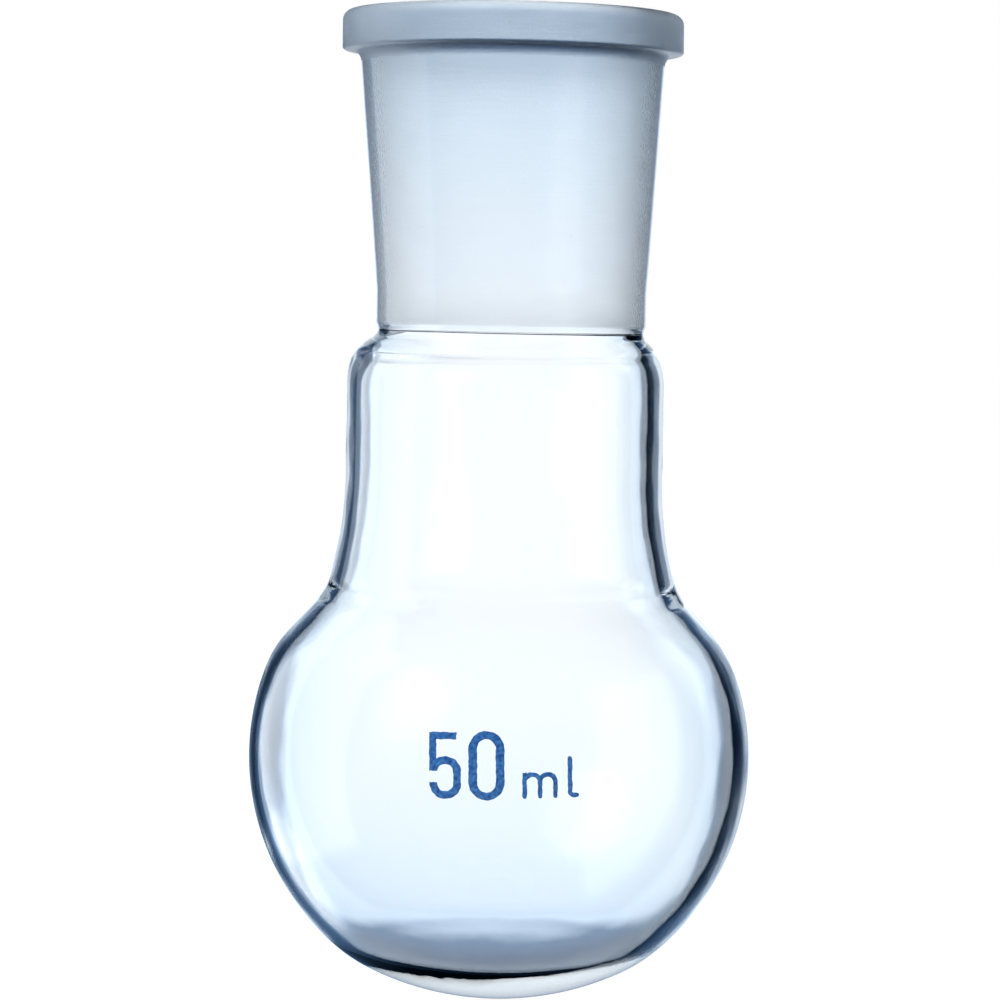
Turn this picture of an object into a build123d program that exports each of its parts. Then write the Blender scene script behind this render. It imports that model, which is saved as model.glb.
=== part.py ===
"""Short-neck round bottom flask, 50 ml, with one 29/32 conical ground socket.

Every glass piece is a body of revolution about the Z axis, standing on the XY plane with the
lowest point of the bulb at the origin.  The capacity mark faces -Y.  All sizes are in mm.

The pieces are the ones a glassblower brings together: a blown bulb, a neck tube, a ground
socket with its collar, the bead of melted glass at each of the two joins, and the four fired
enamel characters.  Neighbouring pieces share the face where they are fused.
"""

from build123d import *
from math import cos, radians, sin
import os

# Blown bulb.  Slopes and leans are in degrees.
BULB_RADIUS = 25.95
BULB_WALL = 1.3
KNUCKLE_RADIUS = 16.5          # tighter bend between the flattened base and the round
INNER_KNUCKLE_RADIUS = 11.0
BASE_SLOPE = 27.0              # where the base cap meets the knuckle
KNUCKLE_SLOPE = 42.0           # where the knuckle meets the round of the bulb
CLOSING_LEAN = 20.0            # where the bulb starts to close in above its middle
SHOULDER_RADIUS = 12.0
SHOULDER_LEAN = 42.0           # steepest lean of the shoulder
FOOT_RADIUS = 7.0              # hollow bend at the top of the shoulder
FOOT_LEAN = 27.0               # where the bulb ends at the lower join

# Lower join
BEAD_LENGTH = 0.9              # along the wall
BEAD_LEAN = 21.0

# Neck tube
NECK_RADIUS = 16.5
NECK_WALL = 1.7
FLARE_RADIUS = 45.0            # long bend by which the tube opens towards the bulb
FLARE_LEAN = 14.5              # where the tube meets the lower join
NECK_TOP = 63.5                # upper end of the straight tube

# Upper join, where the wide neck is drawn in and fused to the narrower socket
CORNER_RADIUS = 8.0            # easy bend above the straight tube
CORNER_LEAN = 22.0
BROW_RADIUS = 2.2              # quick bend at the top of the neck's shoulder
BROW_LEAN = 50.0
BROW_FLANK = 1.6
THROAT_RADIUS = 1.0            # hollow bend where the join meets the socket
RIDGE_BEND_RADIUS = 5.5        # bend inside, from the tube towards the ridge
RIDGE_LEAN = 42.0
RIDGE_FLANK = 0.35
RIDGE_ROUND = 1.9              # hollow bend that ends in the ridge
RIDGE_EDGE = 0.2               # rounding of the ridge's upper edge

# Conical ground socket, 1:10 taper on diameter
CONE_WIDE_RADIUS = 14.6
CONE_LENGTH = 32.0
CONE_TAPER = 0.1
CONE_WALL = 0.95               # wall at the small end
PARALLEL_END = 3.3             # parallel stretch outside the small end
SOCKET_HEAD_RADIUS = 15.62     # outside of the wide end, inside the collar
TOTAL_HEIGHT = 101.8
MOUTH_EDGE = 0.35              # rounding of the mouth

# Collar
COLLAR_RADIUS = 17.55
COLLAR_HEIGHT = 4.1
COLLAR_EDGE = 1.1              # rounding of the upper outside edge
COLLAR_LIP = 0.35              # rounding of the lower outside edge
COLLAR_UNDERCUT = 1.2          # radius of the hollow under the collar

# Fired enamel mark, a little off level as it was put on by hand.  A centre is measured from the
# bulb's axis, and a height from the foot of the digits.
ENAMEL_THICKNESS = 0.08
MARK_TILT = 1.5
MARK_BASELINE = 23.95
DIGIT_HEIGHT = 6.45
FIVE_CENTRE = -5.16
FIVE_WIDTH = 3.08
FIVE_STROKE = 0.69
FIVE_BOWL_STROKE = 0.75
FIVE_BOWL_HEIGHT = 4.14
FIVE_BAR = 2.67
FIVE_STEM_FOOT = 2.72
FIVE_BOWL_TIP = 1.6
DIGIT_EDGE = 0.12              # rounding of the digits' corners
ZERO_CENTRE = -1.14
ZERO_WIDTH = 3.5
ZERO_HEIGHT = 6.7
ZERO_SIDE_STROKE = 0.84
ZERO_TOP_STROKE = 0.76
LETTER_STROKE = 0.44
LETTER_M_CENTRE = 4.06
LETTER_M_WIDTH = 3.44
LETTER_M_HEIGHT = 2.56
LETTER_L_STEM = 6.98
LETTER_L_HEIGHT = 4.0
LETTER_L_BEND = 0.42
LETTER_L_TOE = 0.22            # straight end of the letter's foot


def bulb_depth(bulb_radius, knuckle_radius):
    """Height of the bulb's centre over a surface's lowest point, and that surface's base radius."""
    slope_a = radians(BASE_SLOPE)
    slope_b = radians(KNUCKLE_SLOPE)
    knuckle_reach = knuckle_radius * (sin(slope_b) - sin(slope_a))
    base_radius = (bulb_radius * sin(slope_b) - knuckle_reach) / sin(slope_a)
    depth = bulb_radius * cos(slope_b)
    depth += knuckle_radius * (cos(slope_a) - cos(slope_b))
    depth += base_radius * (1 - cos(slope_a))
    return depth, base_radius


def flank_length(bulb_radius, shoulder_radius, foot_radius, flare_radius, neck_radius):
    """Straight length of the shoulder that brings a surface in to the neck's radius."""
    closing = cos(radians(CLOSING_LEAN))
    lean = radians(SHOULDER_LEAN)
    reach = bulb_radius * closing
    reach -= shoulder_radius * (closing - cos(lean))
    reach -= foot_radius * (cos(radians(FOOT_LEAN)) - cos(lean))
    reach -= BEAD_LENGTH * sin(radians(BEAD_LEAN))
    reach -= flare_radius * (1 - cos(radians(FLARE_LEAN)))
    return (reach - neck_radius) / sin(lean)


def bulb_side(bulb_radius, knuckle_radius, shoulder_radius, foot_radius, flank, base):
    """Draw one surface of the bulb, from the axis up to the lower join, and return its end."""
    base_radius = bulb_depth(bulb_radius, knuckle_radius)[1]
    round_turn = 90 - KNUCKLE_SLOPE + CLOSING_LEAN
    cap = JernArc((0, base), (1, 0), base_radius, BASE_SLOPE)
    knuckle = JernArc(cap @ 1, cap % 1, knuckle_radius, KNUCKLE_SLOPE - BASE_SLOPE)
    belly = JernArc(knuckle @ 1, knuckle % 1, bulb_radius, round_turn)
    shoulder = JernArc(belly @ 1, belly % 1, shoulder_radius, SHOULDER_LEAN - CLOSING_LEAN)
    side = Line(shoulder @ 1, (shoulder @ 1) + flank * (shoulder % 1))
    foot = JernArc(side @ 1, side % 1, foot_radius, FOOT_LEAN - SHOULDER_LEAN)
    return foot @ 1


def leaning(lean):
    """Unit heading up the wall, leaning towards the axis by the given angle."""
    return Vector(-sin(radians(lean)), cos(radians(lean)))


# Surfaces shared by neighbouring pieces
BULB_CENTRE = bulb_depth(BULB_RADIUS, KNUCKLE_RADIUS)[0]
INNER_BULB_RADIUS = BULB_RADIUS - BULB_WALL
INNER_SHOULDER_RADIUS = SHOULDER_RADIUS - BULB_WALL
INNER_FOOT_RADIUS = FOOT_RADIUS + BULB_WALL
INNER_FLARE_RADIUS = FLARE_RADIUS + NECK_WALL
INNER_NECK_RADIUS = NECK_RADIUS - NECK_WALL
BASE_THICKNESS = BULB_CENTRE - bulb_depth(INNER_BULB_RADIUS, INNER_KNUCKLE_RADIUS)[0]
CONE_BOTTOM = TOTAL_HEIGHT - CONE_LENGTH
CONE_NARROW_RADIUS = CONE_WIDE_RADIUS - CONE_LENGTH * CONE_TAPER / 2
SOCKET_END_RADIUS = CONE_NARROW_RADIUS + CONE_WALL
COLLAR_BOTTOM = TOTAL_HEIGHT - COLLAR_HEIGHT


# Bulb: a closed-bottom shell, thickest in its flattened base, open at the lower join.
with BuildPart() as bulb:
    with BuildSketch(Plane.XZ):
        with BuildLine():
            outer_flank = flank_length(
                BULB_RADIUS, SHOULDER_RADIUS, FOOT_RADIUS, FLARE_RADIUS, NECK_RADIUS)
            outer_foot = bulb_side(
                BULB_RADIUS, KNUCKLE_RADIUS, SHOULDER_RADIUS, FOOT_RADIUS, outer_flank, 0)
            inner_flank = flank_length(
                INNER_BULB_RADIUS, INNER_SHOULDER_RADIUS, INNER_FOOT_RADIUS,
                INNER_FLARE_RADIUS, INNER_NECK_RADIUS)
            inner_foot = bulb_side(
                INNER_BULB_RADIUS, INNER_KNUCKLE_RADIUS, INNER_SHOULDER_RADIUS,
                INNER_FOOT_RADIUS, inner_flank, BASE_THICKNESS)
            Line(outer_foot, inner_foot)
            Line((0, 0), (0, BASE_THICKNESS))
        make_face()
    revolve(axis=Axis.Z)

# Lower join: a narrow bead between the bulb's foot and the flared end of the tube.
outer_tube_end = outer_foot + BEAD_LENGTH * leaning(BEAD_LEAN)
inner_tube_end = inner_foot + BEAD_LENGTH * leaning(BEAD_LEAN)
with BuildPart() as neck_weld:
    with BuildSketch(Plane.XZ):
        with BuildLine():
            Polyline(outer_foot, outer_tube_end, inner_tube_end, inner_foot, close=True)
        make_face()
    revolve(axis=Axis.Z)

# Neck: a straight tube, drawn out to a flare where it meets the bulb.
with BuildPart() as neck_tube:
    with BuildSketch(Plane.XZ):
        with BuildLine():
            flare_heading = leaning(FLARE_LEAN)
            outer_flare = JernArc(outer_tube_end, flare_heading, FLARE_RADIUS, -FLARE_LEAN)
            outer_top = Line(outer_flare @ 1, (NECK_RADIUS, NECK_TOP))
            inner_flare = JernArc(
                inner_tube_end, flare_heading, INNER_FLARE_RADIUS, -FLARE_LEAN)
            inner_top = Line(inner_flare @ 1, (INNER_NECK_RADIUS, NECK_TOP))
            Line(outer_top @ 1, inner_top @ 1)
            Line(outer_tube_end, inner_tube_end)
        make_face()
    revolve(axis=Axis.Z)

# Upper join: the neck's rounded shoulder outside, and a ridge under the ground cone inside.
with BuildPart() as socket_weld:
    with BuildSketch(Plane.XZ):
        with BuildLine():
            corner = JernArc((NECK_RADIUS, NECK_TOP), (0, 1), CORNER_RADIUS, CORNER_LEAN)
            brow = JernArc(corner @ 1, corner % 1, BROW_RADIUS, BROW_LEAN - CORNER_LEAN)
            flank = Line(brow @ 1, (brow @ 1) + BROW_FLANK * (brow % 1))
            throat = JernArc(flank @ 1, flank % 1, THROAT_RADIUS, -BROW_LEAN)
            bend = JernArc((INNER_NECK_RADIUS, NECK_TOP), (0, 1), RIDGE_BEND_RADIUS, RIDGE_LEAN)
            inner_flank = Line(bend @ 1, (bend @ 1) + RIDGE_FLANK * (bend % 1))
            ridge = JernArc(inner_flank @ 1, inner_flank % 1, RIDGE_ROUND, -RIDGE_LEAN)
            ridge_edge = JernArc(ridge @ 1, ridge % 1, RIDGE_EDGE, -90)
            Polyline(
                ridge_edge @ 1,
                (CONE_NARROW_RADIUS, (ridge_edge @ 1).Y),
                (CONE_NARROW_RADIUS, CONE_BOTTOM),
                ((throat @ 1).X, CONE_BOTTOM),
                throat @ 1)
            Line((NECK_RADIUS, NECK_TOP), (INNER_NECK_RADIUS, NECK_TOP))
        make_face()
    revolve(axis=Axis.Z)

# Socket: tapered outside and in, with its ground cone opening upwards.
with BuildPart() as ground_socket:
    with BuildSketch(Plane.XZ):
        with BuildLine():
            Polyline(
                (CONE_NARROW_RADIUS, CONE_BOTTOM),
                (SOCKET_END_RADIUS, CONE_BOTTOM),
                (SOCKET_END_RADIUS, CONE_BOTTOM + PARALLEL_END),
                (SOCKET_HEAD_RADIUS, COLLAR_BOTTOM - COLLAR_UNDERCUT),
                (SOCKET_HEAD_RADIUS, TOTAL_HEIGHT),
                (CONE_WIDE_RADIUS, TOTAL_HEIGHT),
                close=True)
        make_face()
    revolve(axis=Axis.Z)
    mouth_edge = ground_socket.edges().group_by(Axis.Z)[-1].sort_by(SortBy.RADIUS)[0]
    fillet(mouth_edge, MOUTH_EDGE)

# Collar: a square-shouldered band round the socket's mouth, with a hollow underneath.
with BuildPart() as rim_collar:
    with BuildSketch(Plane.XZ):
        with BuildLine():
            hollow = JernArc(
                (SOCKET_HEAD_RADIUS, COLLAR_BOTTOM - COLLAR_UNDERCUT), (0, 1),
                COLLAR_UNDERCUT, -90)
            Polyline(
                hollow @ 1,
                (COLLAR_RADIUS, COLLAR_BOTTOM),
                (COLLAR_RADIUS, TOTAL_HEIGHT),
                (SOCKET_HEAD_RADIUS, TOTAL_HEIGHT),
                (SOCKET_HEAD_RADIUS, COLLAR_BOTTOM - COLLAR_UNDERCUT))
        make_face()
    revolve(axis=Axis.Z)
    outside_edges = rim_collar.edges().filter_by(GeomType.CIRCLE).group_by(SortBy.RADIUS)[-1]
    fillet(outside_edges.sort_by(Axis.Z)[-1], COLLAR_EDGE)
    fillet(outside_edges.sort_by(Axis.Z)[0], COLLAR_LIP)

# The mark's plane stands in front of the bulb, with X to the right and Y up.
tilt = radians(MARK_TILT)
mark_plane = Plane(
    origin=(0, -BULB_RADIUS - 1, MARK_BASELINE), x_dir=(cos(tilt), 0, sin(tilt)), z_dir=(0, -1, 0))


def fired_mark(glyph):
    """Thin skin of enamel with the outline of one character, lying on the bulb."""
    with BuildPart() as mark:
        with BuildSketch(mark_plane):
            add(glyph)
        extrude(amount=-BULB_RADIUS / 2)
        with Locations((0, 0, BULB_CENTRE)):
            Sphere(BULB_RADIUS + ENAMEL_THICKNESS, mode=Mode.INTERSECT)
            Sphere(BULB_RADIUS, mode=Mode.SUBTRACT)
    return mark


# Digit 5: a flat bar, a stem and an open bowl.
five_left = FIVE_CENTRE - FIVE_WIDTH / 2
with BuildSketch() as five:
    with Locations((FIVE_CENTRE, FIVE_BOWL_HEIGHT / 2)):
        bowl_radius = FIVE_WIDTH / 2 - 0.02
        RectangleRounded(FIVE_WIDTH, FIVE_BOWL_HEIGHT, bowl_radius)
        RectangleRounded(
            FIVE_WIDTH - 2 * FIVE_BOWL_STROKE, FIVE_BOWL_HEIGHT - 2 * FIVE_BOWL_STROKE,
            bowl_radius - FIVE_BOWL_STROKE, mode=Mode.SUBTRACT)
    with Locations((five_left, FIVE_BOWL_TIP)):
        Rectangle(
            FIVE_WIDTH / 2, FIVE_STEM_FOOT - FIVE_BOWL_TIP, align=(Align.MIN, Align.MIN),
            mode=Mode.SUBTRACT)
    with Locations((five_left, FIVE_STEM_FOOT)):
        Rectangle(FIVE_STROKE, DIGIT_HEIGHT - FIVE_STEM_FOOT, align=(Align.MIN, Align.MIN))
    with Locations((five_left, DIGIT_HEIGHT)):
        Rectangle(FIVE_BAR, FIVE_STROKE, align=(Align.MIN, Align.MAX))
    bar_end = five.vertices().sort_by(Axis.Y)[-4:].sort_by(Axis.X)[-2:]
    fillet(bar_end, DIGIT_EDGE)

# Digit 0: a straight-sided oval ring, heavier at its sides.
with BuildSketch() as zero:
    with Locations((ZERO_CENTRE, DIGIT_HEIGHT / 2)):
        SlotOverall(ZERO_HEIGHT, ZERO_WIDTH, rotation=90)
        SlotOverall(
            ZERO_HEIGHT - 2 * ZERO_TOP_STROKE, ZERO_WIDTH - 2 * ZERO_SIDE_STROKE, rotation=90,
            mode=Mode.SUBTRACT)

# Letter m: three round-footed stems under two round arches, the first stem square at its top.
pen_tip = LETTER_STROKE / 2
with BuildSketch() as letter_m:
    pitch = (LETTER_M_WIDTH - LETTER_STROKE) / 2
    spring = LETTER_M_HEIGHT - pen_tip - pitch / 2
    stems = [LETTER_M_CENTRE - pitch, LETTER_M_CENTRE, LETTER_M_CENTRE + pitch]
    for stem in stems[:-1]:
        with BuildLine():
            ThreePointArc(
                (stem, spring), (stem + pitch / 2, spring + pitch / 2), (stem + pitch, spring))
        trace(line_width=LETTER_STROKE)
    for stem, top in zip(stems, (LETTER_M_HEIGHT, spring, spring)):
        with Locations((stem, pen_tip)):
            Circle(pen_tip)
            Rectangle(LETTER_STROKE, top - pen_tip, align=(Align.CENTER, Align.MIN))

# Letter l: a tall stem with a short foot to the right, round at both ends.
with BuildSketch() as letter_l:
    with BuildLine():
        stem_top = (LETTER_L_STEM, LETTER_L_HEIGHT - pen_tip)
        stem = Line(stem_top, (LETTER_L_STEM, pen_tip + LETTER_L_BEND))
        bend = JernArc(stem @ 1, stem % 1, LETTER_L_BEND, 90)
        toe = Line(bend @ 1, (bend @ 1) + LETTER_L_TOE * (bend % 1))
    trace(line_width=LETTER_STROKE)
    with Locations(stem_top, toe @ 1):
        Circle(pen_tip)

enamel_five = fired_mark(five.sketch)
enamel_zero = fired_mark(zero.sketch)
enamel_m = fired_mark(letter_m.sketch)
enamel_l = fired_mark(letter_l.sketch)

pieces = {
    "bulb": bulb,
    "neck_weld": neck_weld,
    "neck_tube": neck_tube,
    "socket_weld": socket_weld,
    "ground_socket": ground_socket,
    "rim_collar": rim_collar,
    "enamel_digit_5": enamel_five,
    "enamel_digit_0": enamel_zero,
    "enamel_letter_m": enamel_m,
    "enamel_letter_l": enamel_l,
}

os.makedirs("parts", exist_ok=True)
for name, piece in pieces.items():
    piece.part.label = name
    export_step(piece.part, f"parts/{name}.step")
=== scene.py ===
from math import cos, pi, radians, sin

import bmesh
import bpy
from mathutils import Matrix, Quaternion, Vector, noise


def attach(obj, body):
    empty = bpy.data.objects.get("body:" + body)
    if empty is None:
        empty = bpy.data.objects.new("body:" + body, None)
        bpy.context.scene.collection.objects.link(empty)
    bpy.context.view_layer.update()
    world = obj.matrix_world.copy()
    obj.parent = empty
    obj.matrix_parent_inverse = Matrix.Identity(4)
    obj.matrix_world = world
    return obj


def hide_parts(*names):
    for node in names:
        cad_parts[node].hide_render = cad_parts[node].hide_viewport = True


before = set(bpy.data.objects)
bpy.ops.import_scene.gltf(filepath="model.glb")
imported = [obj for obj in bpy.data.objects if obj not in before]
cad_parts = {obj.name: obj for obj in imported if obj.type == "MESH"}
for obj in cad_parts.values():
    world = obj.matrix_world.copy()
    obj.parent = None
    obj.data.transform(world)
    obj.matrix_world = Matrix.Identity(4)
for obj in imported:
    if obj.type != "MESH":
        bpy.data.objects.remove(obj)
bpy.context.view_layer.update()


# ---------------------------------------------------------------------------------------------
# Bulb.  A bubble of borosilicate glass blown in a mould: an even round wall, a base that is
# flatter and thicker where the glass settled, and a shoulder drawn in towards the neck.
# ---------------------------------------------------------------------------------------------

MILLIMETRE = 0.001
TURNS = 240                      # facets round the axis
WALL_STEP = 0.45                 # millimetres between two rings of the mesh


class Outline:
    """A profile in the XZ plane, in millimetres, drawn by swinging and pushing its last vertex."""

    def __init__(self, bm, radius, height, heading, inside):
        self.bm = bm
        self.layer = bm.verts.layers.int.get("inside") or bm.verts.layers.int.new("inside")
        self.tip = bm.verts.new((radius, 0, height))
        self.tip[self.layer] = inside
        self.heading = heading
        self.seen = {self.tip}

    def bend(self, radius, turn):
        """An arc of that radius; a positive turn leans further in towards the axis."""
        side = 1 if turn > 0 else -1
        to_centre = radians(self.heading + 90 * side)
        centre = self.tip.co + radius * Vector((cos(to_centre), 0, sin(to_centre)))
        steps = max(3, round(radius * radians(abs(turn)) / WALL_STEP), round(abs(turn) / 2.5))
        bmesh.ops.spin(
            self.bm, geom=[self.tip], cent=centre, axis=(0, -1, 0), angle=radians(turn),
            steps=steps)
        self.follow()
        self.heading += turn

    def run(self, length):
        """A straight stretch along the heading."""
        angle = radians(self.heading)
        self.reach(self.tip.co.x + length * cos(angle), self.tip.co.z + length * sin(angle))

    def reach(self, radius, height):
        """A straight stretch to a place."""
        way = Vector((radius, 0, height)) - self.tip.co
        count = max(1, round(way.length / WALL_STEP))
        for _ in range(count):
            self.tip = bmesh.ops.extrude_vert_indiv(self.bm, verts=[self.tip])["verts"][0]
            self.tip.co += way / count
            self.seen.add(self.tip)

    def follow(self):
        """Take the far end of what was just spun as the new tip."""
        ahead = [self.tip]
        while ahead:
            self.tip = ahead[0]
            self.seen.add(self.tip)
            ahead = [
                edge.other_vert(self.tip) for edge in self.tip.link_edges
                if edge.other_vert(self.tip) not in self.seen]

    def place(self):
        return self.tip.co.x, self.tip.co.z


def ease(value, start, end):
    """Nought up to start, one from end on, and a smooth change between them."""
    part = min(1, max(0, (value - start) / (end - start)))
    return part * part * (3 - 2 * part)


BORE_OFFSET = 0.1                # millimetres by which the bore stands off the axis in the neck
BULB_OFFSET = 0.2                # and in the bulb
SOCKET_OFFSET = 0.4              # and by which the socket's small end was fused off the axis
WAVE = 0.035                     # slow unevenness of the wall
RIPPLE = 0.012                   # and the finer one on it
JOIN_RIPPLE = 0.03               # what the flame added round the lower join


def settle(bm):
    """Leave the walls as hand work does: bore and socket off the axis, the wall a little uneven."""
    layer = bm.verts.layers.int["inside"]
    for vert in bm.verts:
        height = vert.co.z
        socket = SOCKET_OFFSET * ease(height, 66.8, 69.2) * (1 - 0.9 * ease(height, 70, 104))
        if vert[layer]:
            radius = Vector((vert.co.x, vert.co.y)).length
            ripple = WAVE * noise.noise(vert.co * 0.09) + RIPPLE * noise.noise(vert.co * 0.35)
            at_join = ease(height, 35, 40) * (1 - ease(height, 42, 46))
            ripple += JOIN_RIPPLE * at_join * noise.noise(vert.co * 0.22 + Vector((3, 0, 0)))
            if radius > 1:
                vert.co.x *= 1 + ripple / radius
                vert.co.y *= 1 + ripple / radius
            bore = BORE_OFFSET + (BULB_OFFSET - BORE_OFFSET) * (1 - ease(height, 30, 46))
            vert.co.x -= bore * (1 - ease(height, 63, 68))
        vert.co.x += socket


def turned_glass(middle):
    """Spin the profiles drawn in bm about Z and close the rings that lie under and over middle."""
    bmesh.ops.spin(
        bm, geom=bm.verts[:] + bm.edges[:], cent=(0, 0, 0), axis=(0, 0, 1), angle=2 * pi,
        steps=TURNS, use_merge=True)
    bmesh.ops.remove_doubles(bm, verts=bm.verts, dist=0.0005)
    open_edges = [edge for edge in bm.edges if edge.is_boundary]
    for over in (False, True):
        rings = [edge for edge in open_edges if (edge.verts[0].co.z > middle) == over]
        if rings:
            for face in bmesh.ops.bridge_loops(bm, edges=rings)["faces"]:
                face.material_index = 1
    settle(bm)
    bmesh.ops.recalc_face_normals(bm, faces=bm.faces)


def finish_piece(name, materials, node, sharp=35):
    """Turn bm, in millimetres, into a piece that stands for a CAD node."""
    bmesh.ops.scale(bm, vec=(MILLIMETRE,) * 3, verts=bm.verts)
    mesh = bpy.data.meshes.new(name)
    bm.to_mesh(mesh)
    bm.free()
    for material in materials:
        mesh.materials.append(material)
    mesh.shade_smooth()
    mesh.set_sharp_from_angle(angle=radians(sharp))
    piece = bpy.data.objects.new(name, mesh)
    bpy.context.collection.objects.link(piece)
    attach(piece, "root")
    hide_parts(node)


def new_material(name):
    """A material, with its Principled shader and a function that adds nodes to it."""
    material = bpy.data.materials.new(name)
    material.use_nodes = True
    tree = material.node_tree

    def add(kind, **settings):
        node = tree.nodes.new("ShaderNode" + kind)
        for key, value in settings.items():
            setattr(node, key, value)
        return node

    return material, tree.nodes["Principled BSDF"], add, tree.links.new


def stretched(add, link, along_axis):
    """Object coordinates, squeezed or stretched along Z."""
    mapping = add("Mapping")
    mapping.inputs["Scale"].default_value = (1, 1, along_axis)
    link(add("TexCoord").outputs["Object"], mapping.inputs["Vector"])
    return mapping.outputs["Vector"]


def specks(add, link, spacing, size, clean, dark):
    """A colour for glass with dark specks of dust and grit in it, sizes in metres."""
    cells = add("TexVoronoi")
    cells.inputs["Scale"].default_value = 1 / spacing
    link(add("TexCoord").outputs["Object"], cells.inputs["Vector"])
    inside = add("Math", operation="LESS_THAN")
    inside.inputs[1].default_value = size / spacing
    link(cells.outputs["Distance"], inside.inputs[0])
    mix = add("Mix", data_type="RGBA")
    link(inside.outputs[0], mix.inputs["Factor"])
    mix.inputs["A"].default_value = (*clean, 1)
    mix.inputs["B"].default_value = (*dark, 1)
    return mix.outputs["Result"]


# Clear borosilicate: faintly blue, with long soft draw lines that only bend the light
clear_glass, shader, add, link = new_material("clear_borosilicate")
shader.inputs["Roughness"].default_value = 0
shader.inputs["IOR"].default_value = 1.473
shader.inputs["Transmission Weight"].default_value = 1
link(
    specks(add, link, 0.0035, 0.00004, (0.965, 0.985, 1), (0.35, 0.42, 0.5)),
    shader.inputs["Base Color"])
draw_lines = add("TexNoise")
draw_lines.inputs["Scale"].default_value = 700
draw_lines.inputs["Detail"].default_value = 1
link(stretched(add, link, 0.1), draw_lines.inputs["Vector"])
bump = add("Bump")
bump.inputs["Strength"].default_value = 0.25
bump.inputs["Distance"].default_value = 0.00001
link(draw_lines.outputs["Fac"], bump.inputs["Height"])
link(bump.outputs["Normal"], shader.inputs["Normal"])

# Where two pieces are fused there is no surface left, so light passes straight on
fused_face = bpy.data.materials.new("fused_join")
fused_face.use_nodes = True
fused_face.node_tree.nodes.clear()
passing = fused_face.node_tree.nodes.new("ShaderNodeBsdfTransparent")
output = fused_face.node_tree.nodes.new("ShaderNodeOutputMaterial")
fused_face.node_tree.links.new(passing.outputs[0], output.inputs["Surface"])

BULB_RADIUS = 25.95
BULB_WALL = 1.3
BULB_CENTRE = 25.041
NECK_RADIUS = 16.5
NECK_WALL = 1.7
BASE_SLOPE = 27                  # slopes and leans are in degrees
KNUCKLE_RADIUS = 16.5            # bend between the flattened base and the round
INNER_KNUCKLE_RADIUS = 11
KNUCKLE_SLOPE = 42
CLOSING_LEAN = 20
SHOULDER_RADIUS = 12
SHOULDER_LEAN = 42
FOOT_RADIUS = 7                  # hollow bend at the top of the shoulder
FOOT_LEAN = 27
BEAD_LENGTH = 0.9
BEAD_LEAN = 21
FLARE_LEAN = 14.5
FLARE_RADIUS = 45


def sine(degrees):
    return sin(radians(degrees))


def cosine(degrees):
    return cos(radians(degrees))


def bulb_surface(radius, knuckle, shoulder, foot, flare, neck, inside):
    """One surface of the bulb, from the axis up to the lower join; returns where it ends."""
    knuckle_reach = knuckle * (sine(KNUCKLE_SLOPE) - sine(BASE_SLOPE))
    cap = (radius * sine(KNUCKLE_SLOPE) - knuckle_reach) / sine(BASE_SLOPE)
    depth = radius * cosine(KNUCKLE_SLOPE) + cap * (1 - cosine(BASE_SLOPE))
    depth += knuckle * (cosine(BASE_SLOPE) - cosine(KNUCKLE_SLOPE))
    reach = radius * cosine(CLOSING_LEAN)
    reach -= shoulder * (cosine(CLOSING_LEAN) - cosine(SHOULDER_LEAN))
    reach -= foot * (cosine(FOOT_LEAN) - cosine(SHOULDER_LEAN))
    reach -= BEAD_LENGTH * sine(BEAD_LEAN) + flare * (1 - cosine(FLARE_LEAN))
    line = Outline(bm, 0, BULB_CENTRE - depth, 0, inside)
    line.bend(cap, BASE_SLOPE)
    line.bend(knuckle, KNUCKLE_SLOPE - BASE_SLOPE)
    line.bend(radius, 90 - KNUCKLE_SLOPE + CLOSING_LEAN)
    line.bend(shoulder, SHOULDER_LEAN - CLOSING_LEAN)
    line.run((reach - neck) / sine(SHOULDER_LEAN))
    line.bend(foot, FOOT_LEAN - SHOULDER_LEAN)
    return line.place()


bm = bmesh.new()
outer_foot = bulb_surface(
    BULB_RADIUS, KNUCKLE_RADIUS, SHOULDER_RADIUS, FOOT_RADIUS, FLARE_RADIUS, NECK_RADIUS, 0)
inner_foot = bulb_surface(
    BULB_RADIUS - BULB_WALL, INNER_KNUCKLE_RADIUS, SHOULDER_RADIUS - BULB_WALL,
    FOOT_RADIUS + BULB_WALL, FLARE_RADIUS + NECK_WALL, NECK_RADIUS - NECK_WALL, 1)
turned_glass(middle=30)
finish_piece("blown_bulb", [clear_glass, fused_face], "bulb")


# ---------------------------------------------------------------------------------------------
# Lower join.  Bulb and neck tube were melted together in the flame, which left a narrow ring
# where the wall changes direction twice, seen as a faint line across and a kink at each side.
# ---------------------------------------------------------------------------------------------

bm = bmesh.new()
tube_ends = []
for inside, foot in enumerate((outer_foot, inner_foot)):
    bead = Outline(bm, *foot, 90 + FOOT_LEAN, inside)
    bead.bend(BEAD_LENGTH / radians(FOOT_LEAN - FLARE_LEAN), FLARE_LEAN - FOOT_LEAN)
    tube_ends.append(bead.place())
turned_glass(middle=outer_foot[1] + BEAD_LENGTH / 2)
finish_piece("lower_join_bead", [clear_glass, fused_face], "neck_weld")


# ---------------------------------------------------------------------------------------------
# Neck.  A length of drawn borosilicate tube, straight where the clamp holds it and opened out
# towards the bulb while it was hot.
# ---------------------------------------------------------------------------------------------

NECK_TOP = 63.5

bm = bmesh.new()
for inside, tube_end in enumerate(tube_ends):
    depth = inside * NECK_WALL
    tube = Outline(bm, *tube_end, 90 + FLARE_LEAN, inside)
    tube.bend(FLARE_RADIUS + depth, -FLARE_LEAN)
    tube.reach(NECK_RADIUS - depth, NECK_TOP)
turned_glass(middle=52)
finish_piece("drawn_neck_tube", [clear_glass, fused_face], "neck_tube")


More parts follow.
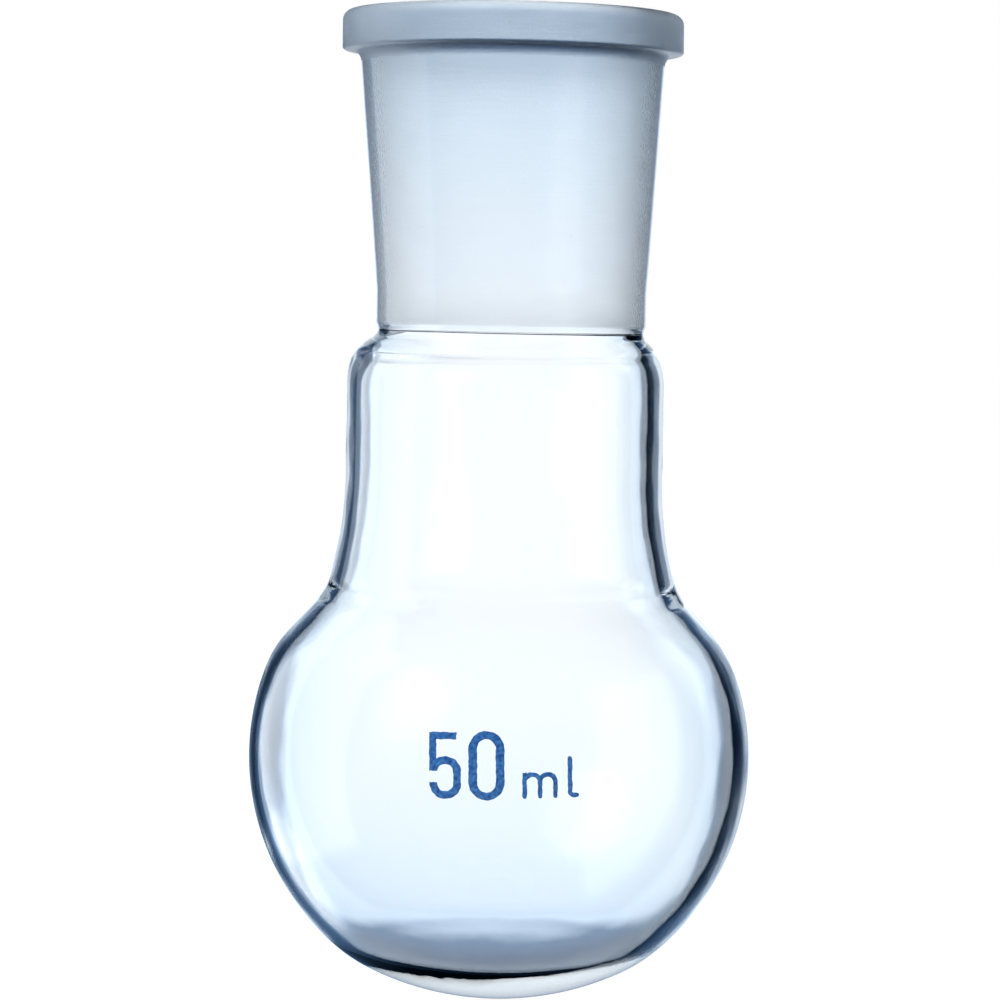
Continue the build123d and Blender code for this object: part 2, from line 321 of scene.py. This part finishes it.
# ---------------------------------------------------------------------------------------------
# Upper join.  The end of the neck tube was heated, drawn in to the socket's width and fused to
# it, which left a rounded shoulder outside and a ridge of thick glass inside.
# ---------------------------------------------------------------------------------------------

CONE_BOTTOM = 69.8
CONE_NARROW = 13
CONE_WALL = 0.95
CORNER_RADIUS = 8                # easy bend above the straight tube
CORNER_LEAN = 22
BROW_RADIUS = 2.2                # quick bend at the top of the shoulder
BROW_LEAN = 50
BROW_FLANK = 1.6
THROAT_RADIUS = 1                # hollow bend where the join meets the socket
RIDGE_BEND_RADIUS = 5.5          # bend inside, from the tube towards the ridge
RIDGE_LEAN = 42
RIDGE_FLANK = 0.35
RIDGE_ROUND = 1.9                # hollow bend that ends in the ridge
RIDGE_EDGE = 0.2

bm = bmesh.new()
brow = Outline(bm, NECK_RADIUS, NECK_TOP, 90, 0)
brow.bend(CORNER_RADIUS, CORNER_LEAN)
brow.bend(BROW_RADIUS, BROW_LEAN - CORNER_LEAN)
brow.run(BROW_FLANK)
brow.bend(THROAT_RADIUS, -BROW_LEAN)
brow.reach(CONE_NARROW + CONE_WALL, CONE_BOTTOM)
ridge = Outline(bm, NECK_RADIUS - NECK_WALL, NECK_TOP, 90, 1)
ridge.bend(RIDGE_BEND_RADIUS, RIDGE_LEAN)
ridge.run(RIDGE_FLANK)
ridge.bend(RIDGE_ROUND, -RIDGE_LEAN)
ridge.bend(RIDGE_EDGE, -90)
ridge.reach(CONE_NARROW - RIDGE_EDGE / 2, ridge.place()[1])
ridge.bend(RIDGE_EDGE / 2, 90)
ridge.reach(CONE_NARROW, CONE_BOTTOM)
turned_glass(middle=66)
finish_piece("upper_join_shoulder", [clear_glass, fused_face], "socket_weld")


# ---------------------------------------------------------------------------------------------
# Socket.  A 29/32 conical joint: its bore was ground with abrasive on a spinning mandrel, so it
# is matt and finely lined round and round, and looks white right through the wall.
# ---------------------------------------------------------------------------------------------

TOTAL_HEIGHT = 101.8
CONE_WIDE = 14.6
SOCKET_HEAD = 15.62
MOUTH_EDGE = 0.35
PARALLEL_END = 3.3               # parallel stretch outside the small end
COLLAR_BOTTOM = TOTAL_HEIGHT - 4.1
COLLAR_UNDERCUT = 1.2
GROUND = 2                       # material of a ground face

ground_glass, shader, add, link = new_material("ground_glass")
shader.inputs["IOR"].default_value = 1.473
shader.inputs["Transmission Weight"].default_value = 1
link(
    specks(add, link, 0.0016, 0.00005, (0.925, 0.965, 1), (0.3, 0.38, 0.45)),
    shader.inputs["Base Color"])
grinding_lines = add("TexNoise")
grinding_lines.inputs["Scale"].default_value = 260
grinding_lines.inputs["Detail"].default_value = 3
link(stretched(add, link, 14), grinding_lines.inputs["Vector"])
grain = add("TexNoise")
grain.inputs["Scale"].default_value = 4500
link(add("TexCoord").outputs["Object"], grain.inputs["Vector"])
roughness = add("MapRange")
roughness.inputs["From Min"].default_value = 0.3
roughness.inputs["From Max"].default_value = 0.7
roughness.inputs["To Min"].default_value = 0.4
roughness.inputs["To Max"].default_value = 0.52
link(grinding_lines.outputs["Fac"], roughness.inputs["Value"])
link(roughness.outputs["Result"], shader.inputs["Roughness"])
normal = None
for texture, strength, distance in ((grinding_lines, 0.5, 0.00003), (grain, 0.5, 0.00003)):
    bump = add("Bump")
    bump.inputs["Strength"].default_value = strength
    bump.inputs["Distance"].default_value = distance
    link(texture.outputs["Fac"], bump.inputs["Height"])
    if normal:
        link(normal, bump.inputs["Normal"])
    normal = bump.outputs["Normal"]
link(normal, shader.inputs["Normal"])

bm = bmesh.new()
outer = Outline(bm, CONE_NARROW + CONE_WALL, CONE_BOTTOM, 90, 0)
outer.run(PARALLEL_END)
outer.reach(SOCKET_HEAD, COLLAR_BOTTOM - COLLAR_UNDERCUT)
outer.reach(SOCKET_HEAD, TOTAL_HEIGHT)
inner = Outline(bm, CONE_NARROW, CONE_BOTTOM, 90, 1)
inner.reach(CONE_WIDE, TOTAL_HEIGHT - MOUTH_EDGE)
inner.reach(CONE_WIDE + MOUTH_EDGE, TOTAL_HEIGHT)
turned_glass(middle=86)
layer = bm.verts.layers.int["inside"]
for face in bm.faces:
    lowest = min(vert.co.z for vert in face.verts)
    if face.material_index == 1:
        if lowest > COLLAR_BOTTOM:
            face.material_index = GROUND
    elif all(vert[layer] for vert in face.verts):
        face.material_index = GROUND
    elif lowest > COLLAR_BOTTOM - COLLAR_UNDERCUT - 0.01:
        face.material_index = 1
finish_piece(
    "ground_socket_cone", [clear_glass, fused_face, ground_glass], "ground_socket")


# ---------------------------------------------------------------------------------------------
# Collar.  A band of glass pressed round the mouth so that the socket doesn't chip, ground matt
# on the outside and slightly crowned on top.
# ---------------------------------------------------------------------------------------------

COLLAR_RADIUS = 17.55
COLLAR_LIP = 0.35
COLLAR_EDGE = 1.1

bm = bmesh.new()
band = Outline(bm, SOCKET_HEAD, COLLAR_BOTTOM - COLLAR_UNDERCUT, 90, 0)
band.bend(COLLAR_UNDERCUT, -90)
band.reach(COLLAR_RADIUS - COLLAR_LIP, COLLAR_BOTTOM)
band.bend(COLLAR_LIP, 90)
band.reach(COLLAR_RADIUS, TOTAL_HEIGHT - COLLAR_EDGE)
band.bend(COLLAR_EDGE, 90)
band.reach(SOCKET_HEAD, TOTAL_HEIGHT)
turned_glass(middle=0)
finish_piece("mouth_collar", [ground_glass, fused_face], "rim_collar")


# ---------------------------------------------------------------------------------------------
# Capacity mark.  Blue glass enamel, screen printed on the bulb and fired on, so its edges are a
# little ragged and its blue is mottled.
# ---------------------------------------------------------------------------------------------

PRINT_STEP = 0.0002              # longest edge of the print's mesh, in metres
PRINT_CUTS = 5                   # times its longer edges are halved
RAGGED = 0.00007                 # how far its outline wanders

blue_enamel, shader, add, link = new_material("fired_blue_enamel")
mottle = add("TexNoise")
mottle.inputs["Scale"].default_value = 3000
mottle.inputs["Detail"].default_value = 2
link(add("TexCoord").outputs["Object"], mottle.inputs["Vector"])
ramp = add("ValToRGB")
ramp.color_ramp.elements[0].position = 0.32
ramp.color_ramp.elements[0].color = (0.006, 0.06, 0.24, 1)
ramp.color_ramp.elements[1].position = 0.72
ramp.color_ramp.elements[1].color = (0.05, 0.2, 0.5, 1)
link(mottle.outputs["Fac"], ramp.inputs["Fac"])
link(ramp.outputs["Color"], shader.inputs["Base Color"])
shader.inputs["Roughness"].default_value = 0.4
bump = add("Bump")
bump.inputs["Strength"].default_value = 0.4
bump.inputs["Distance"].default_value = 0.00002
link(mottle.outputs["Fac"], bump.inputs["Height"])
link(bump.outputs["Normal"], shader.inputs["Normal"])

for name, node in (
        ("printed_digit_5", "enamel_digit_5"), ("printed_digit_0", "enamel_digit_0"),
        ("printed_letter_m", "enamel_letter_m"), ("printed_letter_l", "enamel_letter_l")):
    bm = bmesh.new()
    bm.from_mesh(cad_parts[node].data)
    bmesh.ops.remove_doubles(bm, verts=bm.verts, dist=0.000002)
    for _ in range(PRINT_CUTS):
        long_edges = [edge for edge in bm.edges if edge.calc_length() > PRINT_STEP]
        bmesh.ops.subdivide_edges(bm, edges=long_edges, cuts=1)
        bmesh.ops.triangulate(bm, faces=bm.faces)
    for vert in bm.verts:
        wander = noise.noise_vector(vert.co * 2500) * RAGGED
        vert.co.x += wander.x
        vert.co.z += wander.z
    bmesh.ops.scale(bm, vec=(1 / MILLIMETRE,) * 3, verts=bm.verts)
    finish_piece(name, [blue_enamel], node, sharp=50)


# ---------------------------------------------------------------------------------------------
# Studio: a pale floor that runs into a white background, a white light panel behind the flask
# for each way it is looked at, and a soft lamp in front that lights only the enamel and floor.
# ---------------------------------------------------------------------------------------------

world = bpy.data.worlds.new("studio")
bpy.context.scene.world = world
world.use_nodes = True
nodes, links = world.node_tree.nodes, world.node_tree.links
nodes.clear()
direction = nodes.new("ShaderNodeTexCoord")


def operate(operation, first, second):
    """A Math node on one output and a number or another output."""
    node = nodes.new("ShaderNodeMath")
    node.operation = operation
    links.new(first, node.inputs[0])
    if isinstance(second, (int, float)):
        node.inputs[1].default_value = second
    elif second is not None:
        links.new(second, node.inputs[1])
    return node.outputs[0]


def screen_ramp(nodes, stops, reach):
    """A colour ramp with its stops at places up to reach, in screen colours."""
    ramp = nodes.new("ShaderNodeValToRGB")
    elements = ramp.color_ramp.elements
    elements.remove(elements[1])
    for count, (distance, colour) in enumerate(stops):
        element = elements.new(distance / reach) if count else elements[0]
        element.position = distance / reach
        element.color = (*((c / 255) ** 2.2 for c in colour), 1)
    return ramp


PANEL_REACH = 60                 # degrees, as the stops

# Far panels for the two slanting views: azimuth, elevation, and how narrow each is
nearest = None
for azimuth, elevation, narrow in ((45, 28, 1.5), (225, 19, 1)):
    facing = nodes.new("ShaderNodeVectorMath")
    facing.operation = "DOT_PRODUCT"
    facing.inputs[1].default_value = (
        -sine(azimuth) * cosine(elevation), cosine(azimuth) * cosine(elevation),
        -sine(elevation))
    links.new(direction.outputs["Generated"], facing.inputs[0])
    away = operate("ARCCOSINE", facing.outputs["Value"], None)
    away = operate("MULTIPLY", away, narrow / radians(PANEL_REACH))
    nearest = operate("MINIMUM", away, nearest) if nearest else away
soft_box = screen_ramp(nodes, (
    (0, (255, 255, 255)), (13, (238, 248, 255)), (17, (226, 241, 255)), (21, (125, 152, 180)),
    (26, (72, 96, 124)), (31, (44, 62, 84)), (40, (20, 32, 46)),
    (PANEL_REACH, (14, 24, 36))), PANEL_REACH)
links.new(nearest, soft_box.inputs[0])
studio_light = nodes.new("ShaderNodeBackground")
studio_light.inputs["Strength"].default_value = 1.22
links.new(soft_box.outputs["Color"], studio_light.inputs["Color"])
backdrop = nodes.new("ShaderNodeBackground")
backdrop.inputs["Color"].default_value = (1, 1, 1, 1)
choose = nodes.new("ShaderNodeMixShader")
links.new(nodes.new("ShaderNodeLightPath").outputs["Is Camera Ray"], choose.inputs["Fac"])
links.new(studio_light.outputs[0], choose.inputs[1])
links.new(backdrop.outputs[0], choose.inputs[2])
links.new(choose.outputs[0], nodes.new("ShaderNodeOutputWorld").inputs["Surface"])

# Near panels for the front and side views: a white card just behind the flask, with a dim glow
# round its edges.  The glass shows the card's edges as the dark bands in its walls.
CARD_DISTANCE = 0.056
CARD_CENTRE = 0.0492             # height
CARD_TALL = 1.7                  # height over width
CARD_SHIFT = 0.0025              # how far it stands to the right
GLOW_REACH = 64                  # millimetres, as the stops

glow = bpy.data.materials.new("lit_card")
glow.use_nodes = True
nodes, links = glow.node_tree.nodes, glow.node_tree.links
nodes.clear()
across = nodes.new("ShaderNodeSeparateXYZ")
links.new(nodes.new("ShaderNodeTexCoord").outputs["Object"], across.inputs[0])
sideways = operate("ABSOLUTE", across.outputs["X"], None)
upright = operate("ABSOLUTE", across.outputs["Z"], None)
upright = operate("DIVIDE", upright, CARD_TALL)
out = operate("MAXIMUM", sideways, upright)
out = operate("DIVIDE", out, GLOW_REACH * MILLIMETRE)
card = screen_ramp(nodes, (
    (0, (255, 255, 255)), (14, (252, 254, 255)), (24, (240, 249, 255)), (30, (228, 242, 255)),
    (33, (214, 232, 250)), (35.5, (98, 125, 156)), (38, (62, 86, 114)),
    (46, (44, 62, 84)), (55, (14, 22, 32)), (GLOW_REACH, (0, 0, 0))), GLOW_REACH)
links.new(out, card.inputs[0])
lit = nodes.new("ShaderNodeEmission")
lit.inputs["Strength"].default_value = 1.2
links.new(card.outputs["Color"], lit.inputs["Color"])
together = nodes.new("ShaderNodeAddShader")
links.new(lit.outputs[0], together.inputs[0])
links.new(nodes.new("ShaderNodeBsdfTransparent").outputs[0], together.inputs[1])
links.new(together.outputs[0], nodes.new("ShaderNodeOutputMaterial").inputs["Surface"])
for name, azimuth in (("card_behind", 0), ("card_beside", 90)):
    bm = bmesh.new()
    bmesh.ops.create_grid(bm, x_segments=1, y_segments=1, size=GLOW_REACH * MILLIMETRE)
    bmesh.ops.scale(bm, vec=(1, CARD_TALL, 1), verts=bm.verts)
    bmesh.ops.rotate(bm, matrix=Matrix.Rotation(pi / 2, 3, "X"), verts=bm.verts)
    mesh = bpy.data.meshes.new(name)
    bm.to_mesh(mesh)
    bm.free()
    mesh.materials.append(glow)
    panel = bpy.data.objects.new(name, mesh)
    panel.location = (
        CARD_SHIFT * cosine(azimuth) - CARD_DISTANCE * sine(azimuth),
        CARD_SHIFT * sine(azimuth) + CARD_DISTANCE * cosine(azimuth), CARD_CENTRE)
    panel.rotation_euler = (0, 0, radians(azimuth))
    panel.visible_camera = False
    panel.visible_diffuse = False
    panel.visible_shadow = False
    bpy.context.collection.objects.link(panel)

bm = bmesh.new()
bmesh.ops.create_circle(bm, cap_ends=True, radius=3, segments=96)
floor_mesh = bpy.data.meshes.new("floor")
bm.to_mesh(floor_mesh)
bm.free()
floor = bpy.data.objects.new("floor", floor_mesh)
bpy.context.collection.objects.link(floor)
pale, shader, add, link = new_material("pale_floor")
shader.inputs["Base Color"].default_value = (0.09, 0.09, 0.09, 1)
shader.inputs["Roughness"].default_value = 1
shader.inputs["Specular IOR Level"].default_value = 0
shader.inputs["Emission Color"].default_value = (1, 1, 1, 1)
shader.inputs["Emission Strength"].default_value = 1
floor_mesh.materials.append(pale)
floor.visible_transmission = False
floor.visible_glossy = False

lamp_data = bpy.data.lights.new("soft_lamp", "AREA")
lamp_data.size = 1.2
lamp_data.energy = 18
lamp = bpy.data.objects.new("soft_lamp", lamp_data)
lamp.location = (-0.3, -0.8, 0.95)
lamp.rotation_mode = "QUATERNION"
lamp.rotation_quaternion = (-lamp.location).to_track_quat("-Z", "Y")
lamp.visible_camera = False
lamp.visible_glossy = False
lamp.visible_transmission = False
bpy.context.collection.objects.link(lamp)

camera_data = bpy.data.cameras.new("camera")
camera_data.lens = 133.4
camera_data.sensor_width = 36
camera = bpy.data.objects.new("camera", camera_data)
camera.location = (-0.0004, -0.3835, 0.0727)
look = Vector((-0.0004, 0, 0.0516)) - camera.location
camera.rotation_mode = "QUATERNION"
camera.rotation_quaternion = (
    look.to_track_quat("-Z", "Y") @ Quaternion((0, 0, 1), radians(1.1)))
bpy.context.collection.objects.link(camera)

scene = bpy.context.scene
scene.camera = camera
scene.view_settings.view_transform = "Standard"
scene.cycles.max_bounces = 40
scene.cycles.transmission_bounces = 40
scene.cycles.glossy_bounces = 16
scene.cycles.transparent_max_bounces = 64
